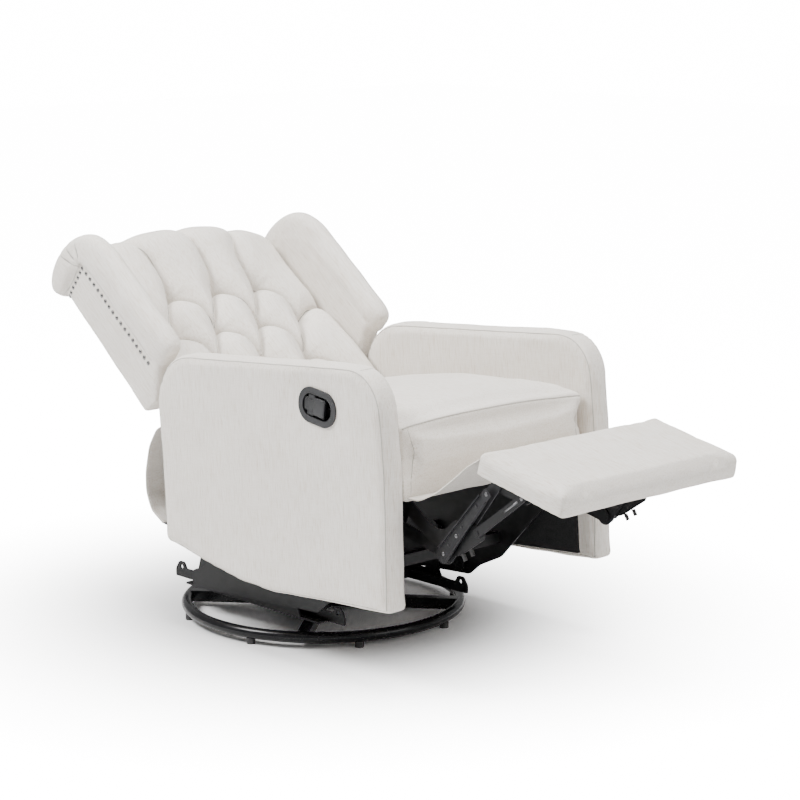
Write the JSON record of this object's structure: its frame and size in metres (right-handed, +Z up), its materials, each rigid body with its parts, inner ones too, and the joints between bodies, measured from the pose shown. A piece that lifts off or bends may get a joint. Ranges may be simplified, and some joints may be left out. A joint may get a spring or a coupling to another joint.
{
  "type": "glider nursery chair",
  "caption": "Upholstered gliding and swivelling nursery recliner with a wing back, tufted cushion, fold-out footrest and a round steel floor ring.",
  "frame": {"origin": "on the swivel axis at floor level", "axes": "+Z up along the swivel axis, front of the chair towards -Y, +X to the sitter's left"},
  "size_m": [0.684, 1.55, 0.8457],
  "materials": {
    "ring_steel": "gloss black enamel",
    "frame_steel": "satin black powder coat",
    "bearing_steel": "machined",
    "glide_plastic": "matte",
    "upholstery": "linen-look slub weave, ivory",
    "dust_cloth": "non-woven, matte",
    "webbing": "woven strap",
    "timber": "plain sawn",
    "bumper_rubber": "matte",
    "handle_plastic": "fine matte, charcoal",
    "nail_metal": "satin silver"
  },
  "bodies": {
    "base": {"base_ring": "ring_steel", "cross_tube_long": "ring_steel", "cross_tube_short": "ring_steel", "floor_glides": "glide_plastic", "swivel_lower_plate": "frame_steel", "bearing_lower": "bearing_steel", "king_bolt": "bearing_steel"},
    "swivel_frame": {"bearing_upper": "bearing_steel", "swivel_upper_plate": "frame_steel", "rail_braces": "frame_steel", "glider_rail_left": "frame_steel", "glider_rail_right": "frame_steel", "glide_post_left": "frame_steel", "glide_post_right": "frame_steel"},
    "glide_front": {"glide_links_front": "frame_steel"},
    "glide_rear": {"glide_links_rear": "frame_steel"},
    "chair_body": {"side_plate_left": "frame_steel", "side_plate_right": "frame_steel", "carriage_tubes": "frame_steel", "arm_brackets": "frame_steel", "seat_rail_front": "timber", "seat_rail_rear": "timber", "seat_side_rails": "timber", "seat_webbing": "webbing", "seat_cushion": "upholstery", "arm_cover_left": "upholstery", "arm_cover_right": "upholstery", "arm_frame_left": "timber", "arm_frame_right": "timber", "arm_lining_left": "dust_cloth", "arm_lining_right": "dust_cloth", "back_pivot_pins": "bearing_steel", "rear_skirt": "upholstery", "under_cover": "dust_cloth", "handle_bezel": "handle_plastic", "release_cable": "handle_plastic"},
    "back_rest": {"back_side_rails": "timber", "back_cross_rails": "timber", "back_webbing": "webbing", "back_cushion": "upholstery", "back_panel": "upholstery", "head_roll": "upholstery", "wing_panel_left": "upholstery", "wing_panel_right": "upholstery", "wing_roll_left": "upholstery", "wing_roll_right": "upholstery", "back_brackets": "frame_steel", "nailheads": "nail_metal"},
    "handle": {"handle_paddle": "handle_plastic"},
    "idlers": {"idler_links": "frame_steel"},
    "cranks": {"crank_frame": "frame_steel", "crank_bumpers": "bumper_rubber"},
    "risers": {"riser_links": "frame_steel"},
    "rods": {"rod_links": "frame_steel"},
    "footrest": {"footrest_brackets": "frame_steel", "footrest_board": "timber", "footrest_pad": "upholstery"}
  },
  "joints": [
    {"name": "swivel", "type": "hinge", "parent": "base", "child": "swivel_frame", "pos_m": [0, 0, 0.046], "axis": [0, 0, 1], "continuous": true},
    {"name": "glide", "type": "hinge", "parent": "swivel_frame", "child": "glide_front", "pos_m": [0, -0.135, 0.178], "axis": [1, 0, 0], "range_deg": [0, 30.2]},
    {"name": "glide_rear_swing", "type": "hinge", "parent": "swivel_frame", "child": "glide_rear", "pos_m": [0, 0.135, 0.178], "axis": [1, 0, 0], "range_deg": [0, 30.3]},
    {"name": "glide_tilt", "type": "hinge", "parent": "glide_front", "child": "chair_body", "pos_m": [0, -0.21318, 0.10466], "axis": [1, 0, 0], "range_deg": [-21.4, 0]},
    {"name": "recline", "type": "hinge", "parent": "chair_body", "child": "back_rest", "pos_m": [0, -0.04617, 0.40411], "axis": [1, 0, 0], "range_deg": [0, 29]},
    {"name": "handle_pull", "type": "hinge", "parent": "chair_body", "child": "handle", "pos_m": [-0.327, -0.33607, 0.56639], "axis": [0, 0.1317, -0.9913], "range_deg": [0, 35], "stiffness_Nm_per_rad": 0.4},
    {"name": "footrest_crank", "type": "hinge", "parent": "chair_body", "child": "cranks", "pos_m": [0, -0.50794, 0.38482], "axis": [1, 0, 0], "range_deg": [0, 98.3]},
    {"name": "footrest_idler", "type": "hinge", "parent": "chair_body", "child": "idlers", "pos_m": [0, -0.48013, 0.32439], "axis": [1, 0, 0], "range_deg": [0, 99.2]},
    {"name": "footrest_riser", "type": "hinge", "parent": "cranks", "child": "risers", "pos_m": [0, -0.66484, 0.34562], "axis": [1, 0, 0], "range_deg": [-104.7, 0]},
    {"name": "footrest_turn", "type": "hinge", "parent": "risers", "child": "footrest", "pos_m": [0, -0.7705, 0.4537], "axis": [1, 0, 0], "range_deg": [0, 79.6]},
    {"name": "footrest_rod", "type": "hinge", "parent": "cranks", "child": "rods", "pos_m": [0, -0.72622, 0.35087], "axis": [1, 0, 0], "range_deg": [-106.2, 0]}
  ],
  "couplings": [
    {"joint": "glide_rear_swing", "follows": "glide", "ratio": 1},
    {"joint": "glide_tilt", "follows": "glide", "ratio": -0.7064},
    {"joint": "footrest_idler", "follows": "footrest_crank", "ratio": 1.0079},
    {"joint": "footrest_riser", "follows": "footrest_crank", "ratio": -1.0638},
    {"joint": "footrest_turn", "follows": "footrest_crank", "ratio": 0.80816},
    {"joint": "footrest_rod", "follows": "footrest_crank", "ratio": -1.0784}
  ]
}
